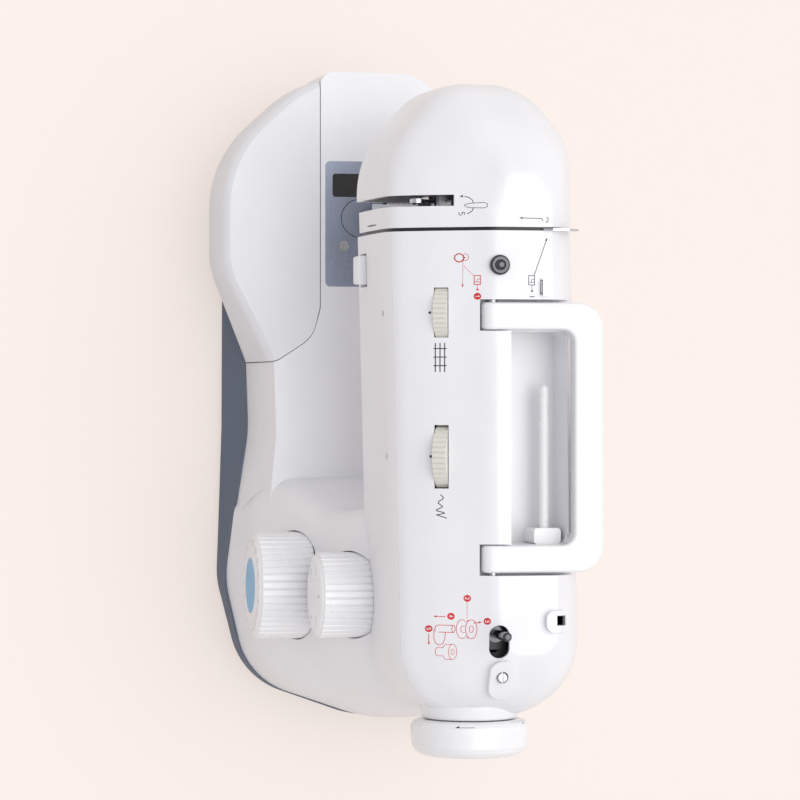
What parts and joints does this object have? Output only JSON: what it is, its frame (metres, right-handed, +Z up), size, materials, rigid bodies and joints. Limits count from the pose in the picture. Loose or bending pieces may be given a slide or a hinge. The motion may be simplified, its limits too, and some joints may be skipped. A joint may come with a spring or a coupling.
{
  "type": "sewing machine",
  "caption": "Domestic free-arm sewing machine with slide-off extension table, folding carry handle, top thumbwheels, front selector dials and a drop-in bobbin.",
  "frame": {"origin": "middle of the machine's footprint at the surface its rubber feet stand on", "axes": "+X towards the handwheel, along the arm; +Y away from the operator; +Z up"},
  "size_m": [0.403, 0.1852, 0.306],
  "materials": {
    "white_case": "satin moulded",
    "white_table": "satin moulded",
    "white_trim": "gloss moulded",
    "pan_grey": "fine grain",
    "foot_rubber": "matt",
    "chassis": "die cast",
    "steel": "ground",
    "chrome": "plated",
    "plate_steel": "satin",
    "smoked": "smoked, gloss",
    "blue_cap": "gloss",
    "wheel_cream": "gloss",
    "belt_rubber": "matt",
    "black_plastic": "fine grain",
    "motor_steel": "semi-gloss",
    "gear_plastic": "moulded",
    "spring_steel": "drawn wire",
    "lamp_white": "diffusing"
  },
  "bodies": {
    "body": {"base_pan": "pan_grey", "rubber_feet": "foot_rubber", "face_cover": "white_case", "top_cover": "white_case", "front_cover": "white_case", "rear_cover": "white_case", "arm_frame": "chassis", "bed_frame": "chassis", "pivot_pins": "steel", "timing_belt": "belt_rubber", "drive_belt": "belt_rubber", "motor": "motor_steel", "bobbin_case": "black_plastic", "needle_plate": "plate_steel", "bobbin_window": "smoked", "screws": "steel", "spool_pin": "white_trim", "spool_pin_bracket": "white_trim", "bobbin_stopper": "white_trim", "thread_guides": "chrome", "winder_tension": "chrome", "power_panel": "black_plastic", "sewing_lamp": "lamp_white"},
    "table": {"extension_table": "white_table"},
    "upper_drive": {"main_shaft": "steel", "handwheel": "white_trim", "main_pulley": "black_plastic", "counterweight_crank": "steel"},
    "lower_drive": {"lower_shaft": "steel"},
    "hook": {"rotary_hook": "steel"},
    "rotor": {"motor_rotor": "steel"},
    "cams": {"pattern_cams": "gear_plastic"},
    "swing": {"needle_bar_frame": "steel"},
    "needle_slide": {"needle_bar": "chrome", "needle_bar_link": "steel", "needle_clamp": "chrome", "needle_clamp_screw": "chrome", "needle": "chrome"},
    "take_up": {"take_up_lever": "chrome"},
    "presser": {"presser_bar": "chrome", "presser_foot_holder": "chrome", "presser_spring": "spring_steel"},
    "foot": {"presser_foot": "chrome"},
    "lifter": {"presser_lifter": "black_plastic"},
    "bobbin_reel": {"bobbin": "lamp_white"},
    "cover_disc": {"bobbin_cover": "plate_steel"},
    "feed_carrier": {"feed_bar": "steel"},
    "feed_teeth": {"feed_dog": "steel"},
    "carry_handle": {"handle": "white_trim"},
    "winder_arm": {"winder_carriage": "black_plastic"},
    "winder_reel": {"winder_spindle": "chrome", "winder_tire": "belt_rubber"},
    "pattern_knob": {"pattern_dial": "white_trim", "pattern_dial_cap": "blue_cap"},
    "length_knob": {"length_dial": "white_trim"},
    "tension_knob": {"tension_wheel": "wheel_cream"},
    "width_knob": {"width_wheel": "wheel_cream"},
    "reverse_key": {"reverse_lever": "white_trim"},
    "switch_rocker": {"power_switch": "black_plastic"}
  },
  "joints": [
    {"name": "handwheel_turn", "type": "hinge", "parent": "body", "child": "upper_drive", "pos_m": [0, 0.026, 0.238], "axis": [1, 0, 0], "continuous": true},
    {"name": "lower_shaft_turn", "type": "hinge", "parent": "body", "child": "lower_drive", "pos_m": [0, 0.0106, 0.05], "axis": [1, 0, 0], "continuous": true},
    {"name": "hook_turn", "type": "hinge", "parent": "body", "child": "hook", "pos_m": [-0.1125, -0.0078, 0.06], "axis": [0, 0, 1], "continuous": true},
    {"name": "motor_turn", "type": "hinge", "parent": "body", "child": "rotor", "pos_m": [0, 0.052, 0.044], "axis": [1, 0, 0], "continuous": true},
    {"name": "cams_turn", "type": "hinge", "parent": "body", "child": "cams", "pos_m": [-0.006, 0.0026, 0.22], "axis": [0, 0, 1], "continuous": true},
    {"name": "needle_swing", "type": "hinge", "parent": "body", "child": "swing", "pos_m": [-0.1125, 0, 0.2595], "axis": [0, 1, 0], "range_deg": [-1.2, 1.2]},
    {"name": "needle_stroke", "type": "slide", "parent": "swing", "child": "needle_slide", "axis": [0, 0, -1], "range_m": [0, 0.0288]},
    {"name": "take_up_swing", "type": "hinge", "parent": "body", "child": "take_up", "pos_m": [0, 0.036, 0.232], "axis": [1, 0, 0], "range_deg": [0, 62]},
    {"name": "lifter_turn", "type": "hinge", "parent": "body", "child": "lifter", "pos_m": [0, 0.037, 0.1936], "axis": [-1, 0, 0], "range_deg": [0, 45]},
    {"name": "presser_drop", "type": "slide", "parent": "body", "child": "presser", "axis": [0, 0, -1], "range_m": [0, 0.006]},
    {"name": "foot_tilt", "type": "hinge", "parent": "presser", "child": "foot", "pos_m": [-0.1125, 0.021, 0.1036], "axis": [1, 0, 0], "range_deg": [-6, 6]},
    {"name": "bobbin_spin", "type": "hinge", "parent": "body", "child": "bobbin_reel", "pos_m": [-0.1125, -0.0078, 0.074], "axis": [0, 0, 1], "continuous": true},
    {"name": "cover_twist", "type": "hinge", "parent": "body", "child": "cover_disc", "pos_m": [-0.1125, -0.0078, 0.086], "axis": [0, 0, 1], "range_deg": [0, 60]},
    {"name": "feed_advance", "type": "slide", "parent": "body", "child": "feed_carrier", "axis": [0, 1, 0], "range_m": [-0.002, 0.002]},
    {"name": "feed_drop", "type": "slide", "parent": "feed_carrier", "child": "feed_teeth", "axis": [0, 0, -1], "range_m": [0, 0.0025]},
    {"name": "table_pull", "type": "slide", "parent": "body", "child": "table", "axis": [-1, 0, 0], "range_m": [0, 0.19]},
    {"name": "handle_lift", "type": "hinge", "parent": "body", "child": "carry_handle", "pos_m": [0, 0.0294, 0.2804], "axis": [1, 0, 0], "range_deg": [0, 90]},
    {"name": "winder_engage", "type": "slide", "parent": "body", "child": "winder_arm", "axis": [1, 0, 0], "range_m": [0, 0.0075]},
    {"name": "winder_spin", "type": "hinge", "parent": "winder_arm", "child": "winder_reel", "pos_m": [0.13, 0.032, 0.27], "axis": [0, 0, 1], "continuous": true},
    {"name": "pattern_select", "type": "hinge", "parent": "body", "child": "pattern_knob", "pos_m": [0.1094, -0.06, 0.119], "axis": [0, 1, 0], "continuous": true},
    {"name": "length_set", "type": "hinge", "parent": "body", "child": "length_knob", "pos_m": [0.1123, -0.04, 0.18], "axis": [0, 1, 0], "range_deg": [-140, 140]},
    {"name": "tension_set", "type": "hinge", "parent": "body", "child": "tension_knob", "pos_m": [-0.0506, 0.00809, 0.26067], "axis": [0, 0.8829, 0.4695], "range_deg": [-160, 160]},
    {"name": "width_set", "type": "hinge", "parent": "body", "child": "width_knob", "pos_m": [0.0304, 0.00828, 0.26031], "axis": [0, 0.8829, 0.4695], "range_deg": [-120, 120]},
    {"name": "reverse_press", "type": "hinge", "parent": "body", "child": "reverse_key", "pos_m": [0, 0.006, 0.202], "axis": [1, 0, 0], "range_deg": [0, 10], "stiffness_Nm_per_rad": 0.8},
    {"name": "power_rock", "type": "hinge", "parent": "body", "child": "switch_rocker", "pos_m": [0.1886, 0, 0.091], "axis": [0, 1, 0], "range_deg": [-14, 0]}
  ],
  "couplings": [
    {"joint": "lower_shaft_turn", "follows": "handwheel_turn", "ratio": 1},
    {"joint": "hook_turn", "follows": "handwheel_turn", "ratio": 2},
    {"joint": "motor_turn", "follows": "handwheel_turn", "ratio": 3.7143},
    {"joint": "cams_turn", "follows": "handwheel_turn", "ratio": -0.0333},
    {"joint": "take_up_swing", "follows": "needle_stroke", "rad_per_m": 37.573},
    {"joint": "lifter_turn", "follows": "presser_drop", "rad_per_m": 130.9}
  ]
}
